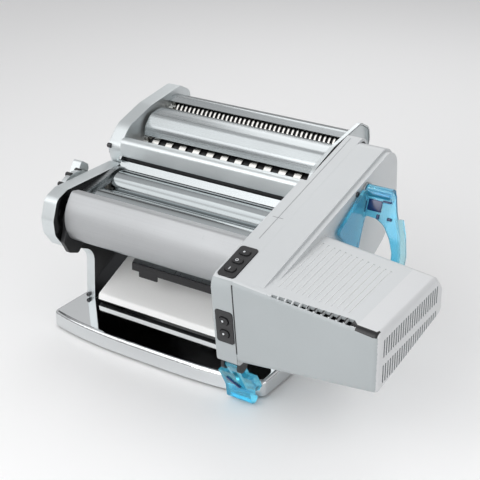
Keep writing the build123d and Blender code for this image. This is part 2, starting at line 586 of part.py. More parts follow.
def surface(point, normal_angle):
    """Plane on the casing's skin, X to the right, facing the given side-view angle."""
    normal = (0, cos(radians(normal_angle)), sin(radians(normal_angle)))
    return Plane(origin=(90.6, *point), x_dir=(1, 0, 0), z_dir=normal)


def make_panel(name, place, length, button_places, button_size):
    """Black control panel let into the casing, with sprung buttons."""
    frame = fillet(Rectangle(13.6, length).vertices(), 2.2)
    body = extrude(Pos(0, 0, -0.9) * frame, amount=1.6)
    keyhole = fillet(Rectangle(*button_size).vertices(), button_size[1] * 0.45)
    key_face = fillet(Rectangle(button_size[0] - 0.8, button_size[1] - 0.8).vertices(),
                      button_size[1] * 0.36)
    for i, along in enumerate(button_places):
        body -= Pos(0, along, -2) * extrude(keyhole, amount=4)
        key = Pos(0, along, -2.4) * extrude(key_face, amount=4.0)
        key = fillet(key.faces().sort_by(Axis.Z)[-1].edges(), 0.5)
        PARTS[f"{name}_button_{i + 1}"] = place * key
    PARTS[name + "_control_panel"] = place * body


def make_controls():
    """Upper panel with three buttons on the slope, lower panel with two on the face."""
    slope = surface((-99.5, 115.3), 90 + TOP_SLOPE)
    face = surface((-115.25, 74.5), 180 + FACE_LEAN)
    make_panel("upper", slope, 31, (-9, 0, 9), (8.4, 5.6))
    make_panel("lower", face, 25, (-5, 5), (7.6, 6.2))
    for place, length in ((slope, 31), (face, 25)):
        rim = fillet(Rectangle(14, length + 0.4).vertices(), 2.4)
        pocket = place * Pos(0, 0, -0.95) * extrude(rim, amount=3)
        through = place * Pos(0, 0, -5) * extrude(Rectangle(10.4, length - 4), amount=8)
        PARTS["casing_inner_half"] = PARTS["casing_inner_half"] - pocket - through


def make_lever():
    """Clear rear lever: a bell-shaped handle that hangs from a pin on the casing."""
    pivot = LEVER_PIVOT
    hang = Plane(origin=(141, *pivot), x_dir=(1, 0, 0),
                 z_dir=(0, -cos(radians(LEVER_LEAN)), sin(radians(LEVER_LEAN))))
    bell = [(-14.8, 4), (7.5, 4), (11, -9), (17, -24), (20.5, -38), (21, -50), (-14.8, -50)]
    arch = [(-12.4, -54), (-12.4, -16), (-3, -16.6), (3.5, -20), (9.8, -28.5), (13.6, -37), (15.6, -54)]
    full = outline(bell, [3, 4, 12, 20, 10, 2, 2])
    skin = full - outline(arch, [0, 3, 8, 10, 10, 10, 0])
    plate = extrude(hang * Pos(0, 0, 2.6) * skin, amount=2.4)
    side = outline([(6, 140), (-34, 119.5), (-20, 106), (-8, 97), (8, 124)], [3, 3, 4, 3, 4])
    wing = slab(side, 126.2, 128.6)
    leg = outline([(8, -14), (24, -14), (24, -52), (8, -52)]) & full
    flange = extrude(hang * Pos(0, 0, -6) * (leg - Pos(-2.5, 0, 0) * full), amount=9)
    barrel = rod(pivot, 126.2, LEVER_END_X, 5.6)
    lever = plate + barrel + wing + flange
    lever -= rod(pivot, 120, 160, 2.5 + RUNNING)
    PARTS["rear_lever"] = lever
    PARTS["lever_pin"] = rod(pivot, CASE_OUTER_X, LEVER_END_X + 1, 2.5) + rod(pivot, CASE_OUTER_X, 125.8, 6.5)


def make_clip():
    """Clear lower clip that hooks the motor unit to the front edge of the base."""
    pivot = (-104.5, 40.0)
    hook = [(-109, 42), (-104.5, 44), (-99.5, 41), (-87, 19), (-84.6, 8), (-81.4, 4.8),
            (-85.4, 1.2), (-90, 3), (-92, 14), (-102, 32)]
    strap = slab(outline(hook, [2, 3, 4, 12, 3, 1, 2, 3, 10, 8]), 75, 102)
    above = outline([(-112, 30), (-112, 50), (-84, 50), (-84, 30)])
    below = outline([(-112, -4), (-112, 18), (-74, 18), (-74, -4)])
    strap -= slab(above, 74, 85.6) + slab(above, 95.4, 103) + slab(below, 95.4, 103)
    window = slab(outline([(-99, 36), (-88, 17), (-94, 14), (-105, 33)], 2), 88, 93)
    PARTS["lower_clip"] = strap - window - rod(pivot, 70, 105, 2.0 + RUNNING)
    ear = outline([(-109, 44.6), (-99, 44.9), (-99.5, 38), (-104.5, 36), (-109, 38)], [0, 0, 3, 3, 3])
    bracket = slab(ear, 83, 85.2) + slab(ear, 95.8, 98) + rod(pivot, 83, 98, 2.0)
    PARTS["clip_bracket"] = bracket


# ---- build -----------------------------------------------------------------------------------
make_base()
make_panels()
make_covers()
make_tie_rods()
make_sheet_rollers()
make_knob()
make_cutters()
make_combs()
make_head_shell()
make_casing()
make_box()
make_motor()
make_gear_train()
make_controls()
make_lever()
make_clip()

# The part's origin is the middle of its footprint, on the surface it stands on.
extent = Compound(children=[Compound(piece.solids()) for piece in PARTS.values()]).bounding_box()
shift = Pos(-(extent.min.X + extent.max.X) / 2, -(extent.min.Y + extent.max.Y) / 2, -extent.min.Z)
print("shift", shift.position, "size", extent.size, "nodes", len(PARTS))

os.makedirs("parts", exist_ok=True)
for name, piece in PARTS.items():
    solids = (shift * piece).solids()
    export_step(solids[0] if len(solids) == 1 else Compound(solids), f"parts/{name}.step")
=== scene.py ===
"""Looks of an electric pasta maker: finishes, small hardware, studio and camera round the fixed frame."""
import json
import logging
import math
from collections.abc import Callable, Iterable
from dataclasses import dataclass
from enum import Enum

import bmesh
import bpy
from mathutils import Matrix, Vector

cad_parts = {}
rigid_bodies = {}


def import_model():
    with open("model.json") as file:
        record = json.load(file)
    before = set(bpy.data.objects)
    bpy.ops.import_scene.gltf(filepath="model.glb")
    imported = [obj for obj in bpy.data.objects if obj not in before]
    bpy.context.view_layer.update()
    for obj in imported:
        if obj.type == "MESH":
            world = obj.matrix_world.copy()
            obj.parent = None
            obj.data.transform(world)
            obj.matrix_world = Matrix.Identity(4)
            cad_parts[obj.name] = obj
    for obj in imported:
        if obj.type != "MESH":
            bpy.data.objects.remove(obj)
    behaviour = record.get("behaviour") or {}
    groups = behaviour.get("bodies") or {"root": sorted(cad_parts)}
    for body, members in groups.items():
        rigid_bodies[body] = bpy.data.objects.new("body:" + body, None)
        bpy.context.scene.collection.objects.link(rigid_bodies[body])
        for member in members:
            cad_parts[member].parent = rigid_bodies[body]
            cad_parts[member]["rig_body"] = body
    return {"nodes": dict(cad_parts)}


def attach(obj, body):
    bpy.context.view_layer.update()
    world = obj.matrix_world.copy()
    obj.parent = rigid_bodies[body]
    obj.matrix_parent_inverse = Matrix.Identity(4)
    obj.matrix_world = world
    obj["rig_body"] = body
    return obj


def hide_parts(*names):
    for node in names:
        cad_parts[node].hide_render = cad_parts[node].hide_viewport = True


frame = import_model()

log = logging.getLogger("pasta_maker")

MM = 0.001
SHIFT = Vector((-47.75, 14.963, 0.0))
UP = Vector((0.0, 0.0, 1.0))
LEFT = Vector((-1.0, 0.0, 0.0))
Pair = tuple[float, float]
Triple = tuple[float, float, float]
Node = bpy.types.Node
Tree = bpy.types.NodeTree
Piece = bpy.types.Object
Material = bpy.types.Material
FaceTest = Callable[[Vector, Vector], bool]

# Depths of the bumps in metres, and how much of its colour a worn metal keeps.
GRAIN_DEPTH = 0.00002
SPECKLE_DEPTH = 0.00004
WORN_SHARE = 0.9

# Edges sharper than these, in degrees, are rounded or stay sharp in the shading.
BEVEL_ANGLE = 35.0
SMOOTH_ANGLE = 32.0

# A face is a top face if its normal rises this much and it lies this close to the top, in metres.
TOP_RISE = 0.9
TOP_REACH = 0.00001


def at(x: float, y: float, z: float) -> Vector:
    """Point of the machine in millimetres as a place in the frame.

    Args:
        x: Along the rollers, to the right.
        y: Front to back.
        z: Up.

    Returns:
        The place in metres.
    """
    return (Vector((x, y, z)) + SHIFT) * MM


def machine_mm(place: Vector) -> Vector:
    """Place in the frame as a point of the machine in millimetres."""
    return place / MM - SHIFT


class Body(Enum):
    """Bodies that the pieces ride on."""

    FRAME = "frame"
    KNOB = "thickness_knob"
    LEVER = "rear_lever"
    CLIP = "lower_clip"
    UPPER_BUTTON_1 = "upper_button_1"
    UPPER_BUTTON_2 = "upper_button_2"
    UPPER_BUTTON_3 = "upper_button_3"
    LOWER_BUTTON_1 = "lower_button_1"
    LOWER_BUTTON_2 = "lower_button_2"


# ---- node helpers ---------------------------------------------------------------------------
Link = tuple[Node, str | int, Node, str | int]


def add_node(tree: Tree, kind: str, inputs: dict[str | int, object] | None = None,
             **values: object) -> Node:
    """Add a shader node and set its properties and inputs.

    Args:
        tree: Tree that gets the node.
        kind: Blender's name of the node type, without its prefix.
        inputs: Input values by socket.
        values: Properties by name.

    Returns:
        The node.
    """
    node = tree.nodes.new(f"ShaderNode{kind}")
    for name, value in values.items():
        setattr(node, name, value)
    for socket, value in (inputs or {}).items():
        node.inputs[socket].default_value = value
    return node


def wire(tree: Tree, *links: Link) -> None:
    """Link nodes, each link given as a node, its output, a node and its input."""
    for source, output, target, entry in links:
        tree.links.new(source.outputs[output], target.inputs[entry])


def new_group(name: str, inputs: dict[str, tuple[str, float | None]],
              outputs: dict[str, str]) -> tuple[Tree, Node, Node]:
    """Make an empty shader group with named sockets.

    Args:
        name: Name of the group.
        inputs: Socket type and default value by name.
        outputs: Socket type by name.

    Returns:
        The group, its input node and its output node.
    """
    tree = bpy.data.node_groups.new(name, "ShaderNodeTree")
    for label, (kind, default) in inputs.items():
        socket = tree.interface.new_socket(name=label, in_out="INPUT", socket_type=f"NodeSocket{kind}")
        if default is not None:
            socket.default_value = default
    for label, kind in outputs.items():
        tree.interface.new_socket(name=label, in_out="OUTPUT", socket_type=f"NodeSocket{kind}")
    return tree, tree.nodes.new("NodeGroupInput"), tree.nodes.new("NodeGroupOutput")


class SharedEffects:
    """Node groups that several finishes use."""

    def __init__(self) -> None:
        """Build the groups."""
        self.grain = self._grain()
        self.wear = self._wear()
        self.speckle = self._speckle()

    def _grain(self) -> Tree:
        """Fine lines, long along one axis: brushing or turning marks."""
        tree, start, end = new_group(
            "metal_grain", {"Stretch": ("Vector", None), "Low": ("Float", 0.2), "High": ("Float", 0.4)},
            {"Height": "Float", "Roughness": "Float"})
        place = add_node(tree, "TexCoord")
        scaled = add_node(tree, "VectorMath", operation="MULTIPLY")
        noise = add_node(tree, "TexNoise", {"Scale": 1.0, "Detail": 3.0})
        span = add_node(tree, "MapRange", {"From Min": 0.3, "From Max": 0.7})
        wire(tree, (place, "Object", scaled, 0), (start, "Stretch", scaled, 1), (scaled, 0, noise, "Vector"),
             (noise, "Fac", span, "Value"), (start, "Low", span, "To Min"), (start, "High", span, "To Max"),
             (noise, "Fac", end, "Height"), (span, "Result", end, "Roughness"))
        return tree

    def _wear(self) -> Tree:
        """Soft smudges and a few hairline scratches, as a mask."""
        tree, start, end = new_group(
            "handling_wear", {"Size": ("Float", 30.0), "Scratches": ("Float", 0.3)}, {"Mask": "Float"})
        place = add_node(tree, "TexCoord")
        smudge = add_node(tree, "TexNoise", {"Detail": 5.0})
        tilted = add_node(tree, "Mapping", {"Rotation": (0.4, 0.3, 0.9), "Scale": (900.0, 40.0, 300.0)})
        lines = add_node(tree, "TexNoise", {"Scale": 1.0, "Detail": 2.0})
        keep = add_node(tree, "MapRange", {"From Min": 0.66, "From Max": 0.72})
        fade = add_node(tree, "Math", operation="MULTIPLY")
        total = add_node(tree, "Math", operation="ADD", use_clamp=True)
        wire(tree, (place, "Object", smudge, "Vector"), (start, "Size", smudge, "Scale"),
             (place, "Object", tilted, "Vector"), (tilted, "Vector", lines, "Vector"),
             (lines, "Fac", keep, "Value"), (keep, "Result", fade, 0), (start, "Scratches", fade, 1),
             (smudge, "Fac", total, 0), (fade, 0, total, 1), (total, 0, end, "Mask"))
        return tree

    def _speckle(self) -> Tree:
        """Fine moulded or metallic speckle: a colour change and a height."""
        tree, start, end = new_group(
            "fine_speckle", {"Size": ("Float", 2500.0), "Light": ("Color", None), "Dark": ("Color", None)},
            {"Color": "Color", "Height": "Float"})
        place = add_node(tree, "TexCoord")
        fine = add_node(tree, "TexNoise", {"Detail": 2.0})
        broad = add_node(tree, "TexNoise", {"Scale": 14.0})
        both = add_node(tree, "Math", operation="MULTIPLY")
        span = add_node(tree, "MapRange", {"From Min": 0.12, "From Max": 0.38})
        mix = add_node(tree, "Mix", data_type="RGBA")
        wire(tree, (place, "Object", fine, "Vector"), (place, "Object", broad, "Vector"),
             (start, "Size", fine, "Scale"), (fine, "Fac", both, 0), (broad, "Fac", both, 1),
             (both, 0, span, "Value"), (span, "Result", mix, "Factor"), (start, "Dark", mix, "A"),
             (start, "Light", mix, "B"), (mix, "Result", end, "Color"), (fine, "Fac", end, "Height"))
        return tree


def start_material(name: str) -> tuple[Material, Tree, Node]:
    """Start a material, and give it with its tree and its bare Principled shader."""
    material = bpy.data.materials.new(name)
    material.use_nodes = True
    tree = material.node_tree
    return material, tree, tree.nodes["Principled BSDF"]


def use_group(tree: Tree, group: Tree, **values: object) -> Node:
    """Place a shared group in a material's tree, its input values given by socket name."""
    return add_node(tree, "Group", values, node_tree=group)


def add_bump(tree: Tree, source: Node, shader: Node, strength: float, distance: float) -> None:
    """Feed a node's Height into the shader's normal through a Bump node.

    Args:
        tree: Tree of the material.
        source: Node that gives the height.
        shader: The Principled shader.
        strength: Strength of the bump.
        distance: Depth of the bump in metres.
    """
    bump = add_node(tree, "Bump", {"Strength": strength, "Distance": distance})
    wire(tree, (source, "Height", bump, "Height"), (bump, "Normal", shader, "Normal"))


@dataclass(frozen=True)
class Metal:
    """Metal finish with marks along one axis and smudges from handling."""

    name: str
    colour: Triple
    low: float
    high: float
    stretch: Triple
    bump: float = 0.05
    dull: float = 0.08

    def build(self, effects: SharedEffects) -> Material:
        """Build the material with the shared node groups."""
        material, tree, shader = start_material(self.name)
        shader.inputs["Metallic"].default_value = 1.0
        grain = use_group(tree, effects.grain, Stretch=self.stretch, Low=self.low, High=self.high)
        wear = use_group(tree, effects.wear, Size=24.0, Scratches=0.35)
        worn = tuple(channel * WORN_SHARE for channel in self.colour)
        tint = add_node(tree, "Mix", {"A": (*self.colour, 1.0), "B": (*worn, 1.0)}, data_type="RGBA")
        dulled = add_node(tree, "Math", {1: self.dull}, operation="MULTIPLY_ADD")
        wire(tree, (wear, "Mask", tint, "Factor"), (tint, "Result", shader, "Base Color"),
             (wear, "Mask", dulled, 0), (grain, "Roughness", dulled, 2), (dulled, 0, shader, "Roughness"))
        add_bump(tree, grain, shader, self.bump, GRAIN_DEPTH)
        return material


def speckle_and_wear(tree: Tree, shader: Node, effects: SharedEffects, light: Triple,
                     dark: Triple, size: float, wear_size: float, scratches: float, low: float,
                     high: float) -> Node:
    """Give a shader a speckled colour and a roughness that follows its wear.

    Args:
        tree: Tree of the material.
        shader: The Principled shader.
        effects: The shared node groups.
        light: Lighter colour.
        dark: Darker colour.
        size: Scale of the speckle.
        wear_size: Scale of the smudges.
        scratches: How much the scratches show.
        low: Least roughness.
        high: Most roughness.

    Returns:
        The speckle's node.
    """
    speckle = use_group(tree, effects.speckle, Size=size, Light=(*light, 1.0), Dark=(*dark, 1.0))
    wear = use_group(tree, effects.wear, Size=wear_size, Scratches=scratches)
    rough = add_node(tree, "MapRange", {"To Min": low, "To Max": high})
    wire(tree, (speckle, "Color", shader, "Base Color"), (wear, "Mask", rough, "Value"),
         (rough, "Result", shader, "Roughness"))
    return speckle


@dataclass(frozen=True)
class Plastic:
    """Moulded plastic with a fine speckle."""

    name: str
    light: Triple
    dark: Triple
    roughness: float
    size: float = 2500.0
    bump: float = 0.1
    coat: float = 0.0

    def build(self, effects: SharedEffects) -> Material:
        """Build the material with the shared node groups."""
        material, tree, shader = start_material(self.name)
        shader.inputs["Coat Weight"].default_value = self.coat
        shader.inputs["Coat Roughness"].default_value = 0.12
        speckle = speckle_and_wear(tree, shader, effects, self.light, self.dark, self.size, 40.0, 0.15,
                                   self.roughness - 0.06, self.roughness + 0.08)
        add_bump(tree, speckle, shader, self.bump, SPECKLE_DEPTH)
        return material


@dataclass(frozen=True)
class ClearPlastic:
    """Tinted see-through plastic with a faint swirl from moulding."""

    name: str
    tint: Triple
    deep: Triple
    roughness: float = 0.06

    def build(self, effects: SharedEffects) -> Material:
        """Build the material with the shared node groups."""
        material, tree, shader = start_material(self.name)
        shader.inputs["Transmission Weight"].default_value = 0.8
        shader.inputs["IOR"].default_value = 1.49
        speckle_and_wear(tree, shader, effects, self.tint, self.deep, 60.0, 60.0, 0.1,
                         self.roughness, self.roughness + 0.1)
        return material


ALONG_X = (6.0, 2600.0, 2600.0)
ROUND_X = (2600.0, 12.0, 12.0)
NO_GRAIN = (40.0, 40.0, 40.0)

FINISHES = (
    Metal("mirror_chrome", (0.74, 0.76, 0.77), 0.03, 0.06, NO_GRAIN, 0.0, 0.04),
    Metal("panel_chrome", (0.72, 0.76, 0.77), 0.36, 0.44, NO_GRAIN, 0.02, 0.07),
    # Painted shade: near-black steel for faces that stand in shade inside the machine.
    Metal("shadowed_steel", (0.05, 0.05, 0.052), 0.14, 0.22, NO_GRAIN, 0.02, 0.07),
    Metal("satin_steel", (0.50, 0.51, 0.52), 0.5, 0.6, ALONG_X, 0.05, 0.06),
    # Painted shade: a darker copy of the cover steel for its lower band.
    Metal("fold_shade_steel", (0.36, 0.39, 0.41), 0.22, 0.32, ALONG_X, 0.05, 0.06),
    Metal("roller_steel", (0.40, 0.43, 0.44), 0.07, 0.12, ROUND_X, 0.03, 0.05),
    Metal("cover_chrome", (0.49, 0.52, 0.53), 0.2, 0.28, ALONG_X, 0.03, 0.06),
    Metal("cutter_steel", (0.70, 0.69, 0.66), 0.16, 0.24, ROUND_X, 0.05, 0.05),
    Metal("shaft_steel", (0.42, 0.43, 0.44), 0.22, 0.34, ROUND_X, 0.05, 0.08),
    Metal("zinc_plate", (0.52, 0.53, 0.55), 0.3, 0.42, NO_GRAIN, 0.05, 0.1),
    Metal("gear_brass", (0.78, 0.6, 0.27), 0.2, 0.3, ROUND_X, 0.05, 0.08),
    Metal("screw_steel", (0.10, 0.10, 0.105), 0.2, 0.3, NO_GRAIN, 0.05, 0.1),
    Plastic("silver_plastic", (0.59, 0.61, 0.62), (0.55, 0.57, 0.58), 0.36, 3200.0, 0.05, 0.1),
    # Painted shade: a darker copy of the casing plastic for the faces that look forward.
    Plastic("front_shade_plastic", (0.4, 0.43, 0.44), (0.37, 0.4, 0.41), 0.4, 3200.0, 0.06, 0.0),
    Plastic("cap_plastic", (0.64, 0.65, 0.66), (0.6, 0.61, 0.62), 0.36, 3200.0, 0.05, 0.1),
    Plastic("seam_grey", (0.30, 0.31, 0.32), (0.26, 0.27, 0.28), 0.6, 1800.0, 0.0, 0.0),
    Plastic("black_plastic", (0.022, 0.022, 0.024), (0.012, 0.012, 0.013), 0.36, 1800.0, 0.25, 0.0),
    # Black for real dark parts, and painted shade in cutter grooves, gaps and vent mouths.
    Plastic("black_and_shade", (0.012, 0.012, 0.013), (0.006, 0.006, 0.007), 0.4, 1800.0, 0.1, 0.0),
    Plastic("button_plastic", (0.016, 0.016, 0.018), (0.009, 0.009, 0.01), 0.5, 1800.0, 0.1, 0.0),
    Plastic("mark_white", (0.62, 0.64, 0.66), (0.56, 0.58, 0.6), 0.4, 1800.0, 0.0, 0.0),
    Plastic("white_enamel", (0.96, 0.96, 0.95), (0.93, 0.93, 0.92), 0.3, 900.0, 0.05, 0.3),
    Plastic("nylon", (0.76, 0.74, 0.68), (0.7, 0.68, 0.62), 0.42, 900.0, 0.1, 0.0),
    Plastic("magnet_black", (0.04, 0.04, 0.043), (0.025, 0.025, 0.027), 0.5, 1200.0, 0.3, 0.0),
    Plastic("board_green", (0.02, 0.14, 0.06), (0.015, 0.1, 0.045), 0.35, 500.0, 0.2, 0.3),
    Plastic("soft_rubber", (0.025, 0.025, 0.026), (0.015, 0.015, 0.016), 0.7, 1400.0, 0.4, 0.0),
    Plastic("deep_blue", (0.006, 0.03, 0.15), (0.003, 0.012, 0.07), 0.2, 700.0, 0.05, 0.4),
    ClearPlastic("clear_blue", (0.34, 0.84, 1.0), (0.16, 0.70, 0.99)),
    ClearPlastic("strong_blue", (0.22, 0.84, 0.99), (0.06, 0.58, 0.92)),
    ClearPlastic("pale_cyan", (0.60, 0.92, 0.98), (0.46, 0.86, 0.96)),
)


class Paintbox:
    """Builds each finish once and hands it out by name."""

    def __init__(self) -> None:
        """Build every finish."""
        effects = SharedEffects()
        self.made = {finish.name: finish.build(effects) for finish in FINISHES}

    def put(self, piece: Piece, name: str) -> None:
        """Give a piece one finish all over."""
        piece.data.materials.clear()
        piece.data.materials.append(self.made[name])

    def touch_up(self, piece: Piece, name: str, test: FaceTest) -> None:
        """Give the faces of a piece that pass a test a finish of their own.

        Args:
            piece: The piece, which has its main finish already.
            name: Name of the finish for the chosen faces.
            test: Takes a face's centre in machine millimetres and its normal.
        """
        slot = len(piece.data.materials)
        piece.data.materials.append(self.made[name])
        chosen = [face for face in piece.data.polygons if test(machine_mm(face.center), face.normal)]
        for face in chosen:
            face.material_index = slot
        log.info("%s: %d faces in %s", piece.name, len(chosen), name)


# ---- modelling helpers ----------------------------------------------------------------------
def select_only(piece: Piece) -> None:
    """Deselect everything, then select and activate one object."""
    bpy.ops.object.select_all(action="DESELECT")
    piece.select_set(True)
    bpy.context.view_layer.objects.active = piece


def turned(degrees: float, axis: str) -> Matrix:
    """Turn about an axis of the frame."""
    return Matrix.Rotation(math.radians(degrees), 4, axis)


def apply_modifier(piece: Piece, kind: str, **values: object) -> None:
    """Add a modifier to a piece, set its properties and apply it."""
    select_only(piece)
    modifier = piece.modifiers.new("shape", kind)
    for name, value in values.items():
        setattr(modifier, name, value)
    bpy.ops.object.modifier_apply(modifier=modifier.name)


def apply_bevel(piece: Piece, width: float, segments: int = 2) -> None:
    """Round the sharp edges of a piece.

    Args:
        piece: The piece.
        width: Width in millimetres.
        segments: Steps across the round.
    """
    apply_modifier(piece, "BEVEL", width=width * MM, segments=segments, limit_method="ANGLE",
                   angle_limit=math.radians(BEVEL_ANGLE), harden_normals=True)


def smooth(piece: Piece) -> None:
    """Shade smooth except across sharp edges, with normals that follow the large faces."""
    select_only(piece)
    bpy.ops.object.shade_smooth_by_angle(angle=math.radians(SMOOTH_ANGLE))
    apply_modifier(piece, "WEIGHTED_NORMAL", weight=80, keep_sharp=True)


def clean_mesh(piece: Piece, weld: float, flat: float) -> None:
    """Weld close corners and merge faces that lie flat with each other.

    Args:
        piece: The piece.
        weld: Corners closer than this become one, in metres.
        flat: Faces that meet at less than this become one, in degrees.
    """
    select_only(piece)
    bpy.ops.object.mode_set(mode="EDIT")
    bpy.ops.mesh.select_all(action="SELECT")
    bpy.ops.mesh.remove_doubles(threshold=weld)
    bpy.ops.mesh.dissolve_limited(angle_limit=math.radians(flat))
    bpy.ops.object.mode_set(mode="OBJECT")


def skin_of(node: str, bevel: float = 0.0) -> Piece:
    """Make a clean, smooth copy of a frame node to show in its place.

    Args:
        node: Name of the node.
        bevel: Width of the rounded edges in millimetres, or 0 for none.

    Returns:
        The copy, riding on the node's body.
    """
    source = frame["nodes"][node]
    piece = bpy.data.objects.new(f"{node}_skin", source.data.copy())
    bpy.context.scene.collection.objects.link(piece)
    select_only(piece)
    bpy.ops.mesh.customdata_custom_splitnormals_clear()
    clean_mesh(piece, 0.000002, 0.4)
    if bevel:
        apply_bevel(piece, bevel)
    smooth(piece)
    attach(piece, source["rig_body"])
    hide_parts(node)
    return piece


def welded_skin(name: str, nodes: tuple[str, str], bevel: float) -> Piece:
    """Make one skin of two nodes of the same body that meet flush.

    Args:
        name: Name of the piece.
        nodes: The two nodes.
        bevel: Width of the rounded edges in millimetres.

    Returns:
        The piece, which stands for both nodes.
    """
    piece = skin_of(nodes[0])
    other = skin_of(nodes[1])
    piece.name = name
    apply_modifier(piece, "BOOLEAN", operation="UNION", solver="EXACT", object=other)
    bpy.data.objects.remove(other)
    clean_mesh(piece, 0.000004, 0.5)
    apply_bevel(piece, bevel)
    smooth(piece)
    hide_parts(*nodes)
    return piece


def settle(piece: Piece, place: Vector, facing: Vector, turn: float = 0.0) -> Piece:
    """Carry a piece that was modelled upright at the origin to its place, in its mesh.

    Args:
        piece: The piece, its foot at the origin and its top along +Z.
        place: Where its foot goes.
        facing: Direction of its top.
        turn: Turn about its own axis, in degrees.

    Returns:
        The piece.
    """
    pose = facing.to_track_quat("Z", "Y").to_matrix().to_4x4() @ turned(turn, "Z")
    piece.data.transform(Matrix.Translation(place) @ pose)
    piece.data.update()
    return piece


def copy_of(piece: Piece, name: str) -> Piece:
    """Copy a piece with a mesh of its own."""
    twin = bpy.data.objects.new(name, piece.data.copy())
    bpy.context.scene.collection.objects.link(twin)
    return twin


def new_block(name: str, size: Triple, foot: bool = True) -> Piece:
    """Start a block in millimetres at the origin.

    Args:
        name: Name of the piece.
        size: Its three sides.
        foot: Whether it stands on the origin, or is centred on it.

    Returns:
        The block.
    """
    bpy.ops.object.select_all(action="DESELECT")
    bpy.ops.mesh.primitive_cube_add(size=1.0, location=(0.0, 0.0, size[2] * MM / 2 if foot else 0.0))
    piece = bpy.context.active_object
    piece.name = name
    piece.scale = Vector(size) * MM
    bpy.ops.object.transform_apply(location=True, rotation=True, scale=True)
    return piece


def new_disc(name: str, radius: float, height: float, sides: int = 24) -> Piece:
    """Start a disc in millimetres that stands on the origin."""
    bpy.ops.object.select_all(action="DESELECT")
    bpy.ops.mesh.primitive_cylinder_add(vertices=sides, radius=radius * MM, depth=height * MM,
                                        location=(0.0, 0.0, height * MM / 2))
    piece = bpy.context.active_object
    piece.name = name
    bpy.ops.object.transform_apply(location=True, rotation=True, scale=True)
    return piece


def raise_top(piece: Piece, inset: float, lift: float) -> None:
    """Inset the top faces of a piece and move what is inside up or down.

    Args:
        piece: The piece.
        inset: Width of the inset in millimetres.
        lift: How far the inner faces go up, in millimetres.
    """
    top = max(corner.co.z for corner in piece.data.vertices)
    select_only(piece)
    bpy.ops.object.mode_set(mode="EDIT")
    mesh = bmesh.from_edit_mesh(piece.data)
    for face in mesh.faces:
        face.select_set(False)
    for face in mesh.faces:
        if face.normal.z > TOP_RISE and face.calc_center_median().z > top - TOP_REACH:
            face.select_set(True)
    bmesh.update_edit_mesh(piece.data)
    bpy.ops.mesh.inset(thickness=inset * MM)
    bpy.ops.transform.translate(value=(0.0, 0.0, lift * MM))
    bpy.ops.object.mode_set(mode="OBJECT")


def carve(piece: Piece, tool: Piece) -> None:
    """Cut one piece out of another and remove the tool."""
    apply_modifier(piece, "BOOLEAN", operation="DIFFERENCE", solver="EXACT", object=tool)
    bpy.data.objects.remove(tool)


def join_pieces(pieces: list[Piece], name: str) -> Piece:
    """Join pieces into one with a new name."""
    select_only(pieces[0])
    for piece in pieces:
        piece.select_set(True)
    bpy.ops.object.join()
    pieces[0].name = name
    smooth(pieces[0])
    return pieces[0]


class Drive(Enum):
    """What turns a screw, as the turns of its slots in degrees."""

    CROSS = (0.0, 90.0)
    SLOT = (0.0,)


@dataclass(frozen=True)
class Fastener:
    """Screw head with a stepped dome, in millimetres."""

    radius: float
    height: float
    drive: Drive

    def build(self, name: str) -> Piece:
        """Model the head upright at the origin.

        Args:
            name: Name of the piece.

        Returns:
            The piece.
        """
        head = new_disc(name, self.radius, self.height)
        raise_top(head, self.radius * 0.22, self.height * 0.2)
        raise_top(head, self.radius * 0.3, self.height * 0.1)
        slot_size = (self.radius * 1.25, self.radius * 0.26, self.height)
        slot_foot = Vector((0.0, 0.0, self.height * 0.75 * MM))
        for turn in self.drive.value:
            carve(head, settle(new_block("slot_tool", slot_size), slot_foot, UP, turn))
        apply_bevel(head, self.radius * 0.05, 1)
        smooth(head)
        return head


@dataclass(frozen=True)
class Bar:
    """Block about the origin with a raised top, in millimetres."""

    size: Triple
    inset: float
    lift: float
    bevel: float = 0.0
    segments: int = 2

    def build(self, name: str, pose: Matrix) -> Piece:
        """Model the bar and carry it to its pose, in its mesh.

        Args:
            name: Name of the piece.
            pose: Pose of its middle in metres, its raised top along +Z.

        Returns:
            The piece, rounded and smooth if it has a bevel.
        """
        bar = new_block(name, self.size, foot=False)
        raise_top(bar, self.inset, self.lift)
        if self.bevel:
            apply_bevel(bar, self.bevel, self.segments)
        bar.data.transform(pose)
        if self.bevel:
            smooth(bar)
        return bar


@dataclass
class SubAssembly:
    """What every sub-assembly shares: its finishes and the report of its pieces."""

    paint: Paintbox

    def show(self, nodes: Iterable[str], finish: str, bevel: float = 0.0) -> list[Piece]:
        """Show frame nodes as smooth copies in one finish.

        Args:
            nodes: Names of the nodes.
            finish: Name of the finish.
            bevel: Width of the rounded edges in millimetres.

        Returns:
            The copies.
        """
        made = []
        for node in nodes:
            piece = skin_of(node, bevel)
            self.paint.put(piece, finish)
            made.append(piece)
            log.info("%s: %d faces, %s", piece.name, len(piece.data.polygons), finish)
        return made

    def dress(self, nodes: Iterable[str], finish: str) -> None:
        """Give frame nodes a finish where they stand."""
        for node in nodes:
            self.paint.put(frame["nodes"][node], finish)
            log.info("%s: %s", node, finish)

    def keep(self, piece: Piece, body: Body, finish: str) -> None:
        """Finish a new piece: material, body and report.

        Args:
            piece: The new piece, with its place in its mesh.
            body: Body that it rides on.
            finish: Name of the finish.
        """
        self.paint.put(piece, finish)
        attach(piece, body.value)
        log.info("%s: %d faces, %s", piece.name, len(piece.data.polygons), finish)


@dataclass
class Base(SubAssembly):
    """Pressed pan on four feet."""

    def build(self) -> None:
        """Dress the base."""
        self.show(["base_plate"], "mirror_chrome")
        self.dress(["rubber_feet"], "soft_rubber")


